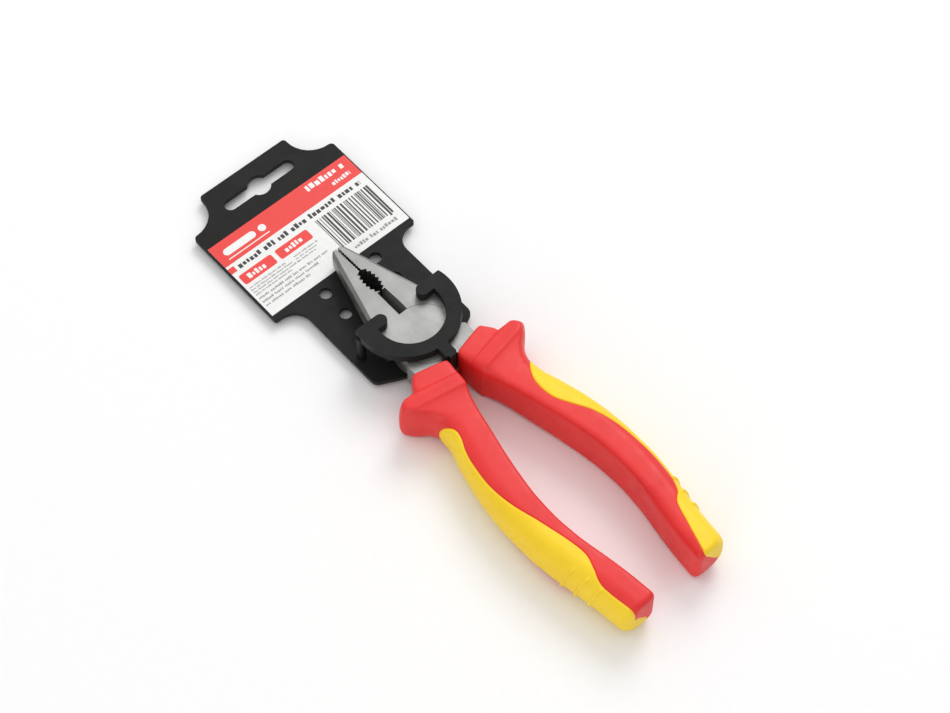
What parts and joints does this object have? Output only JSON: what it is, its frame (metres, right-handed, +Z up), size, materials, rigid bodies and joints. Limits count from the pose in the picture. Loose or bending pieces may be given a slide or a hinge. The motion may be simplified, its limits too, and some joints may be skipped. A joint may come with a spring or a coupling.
{
  "type": "insulated combination pliers",
  "caption": "Insulated combination pliers with two-colour guarded grips, clipped by a ring to a flat hanger card with a euro slot.",
  "frame": {"origin": "bottom centre of the object's box, on the plane the grips rest on", "axes": "+Y towards the jaw tips and the hanger's slot, +Z up through the joint, +X to the right seen from above"},
  "size_m": [0.059, 0.2104, 0.0176],
  "materials": {
    "steel": "satin",
    "red_grip": "satin",
    "yellow_grip": "satin",
    "black_plastic": "matte",
    "label_paper": "coated paper"
  },
  "bodies": {
    "lower_half": {"lower_lever": "steel", "pivot_rivet": "steel", "left_grip_sleeve": "red_grip", "left_grip_insert": "yellow_grip"},
    "upper_half": {"upper_lever": "steel", "right_grip_sleeve": "red_grip", "right_grip_insert": "yellow_grip"},
    "hanger": {"hanger_card": "black_plastic", "hanger_clip": "black_plastic", "hanger_label": "label_paper"}
  },
  "joints": [
    {"name": "pliers_hinge", "type": "hinge", "parent": "lower_half", "child": "upper_half", "pos_m": [0, 0.0106, 0.0088], "axis": [0, 0, 1], "range_deg": [0, 35]},
    {"name": "hanger_swivel", "type": "hinge", "parent": "lower_half", "child": "hanger", "pos_m": [0, 0.0106, 0.0088], "axis": [0, 0, 1], "range_deg": [0, 17.5]}
  ],
  "couplings": [
    {"joint": "hanger_swivel", "follows": "pliers_hinge", "ratio": 0.5}
  ]
}
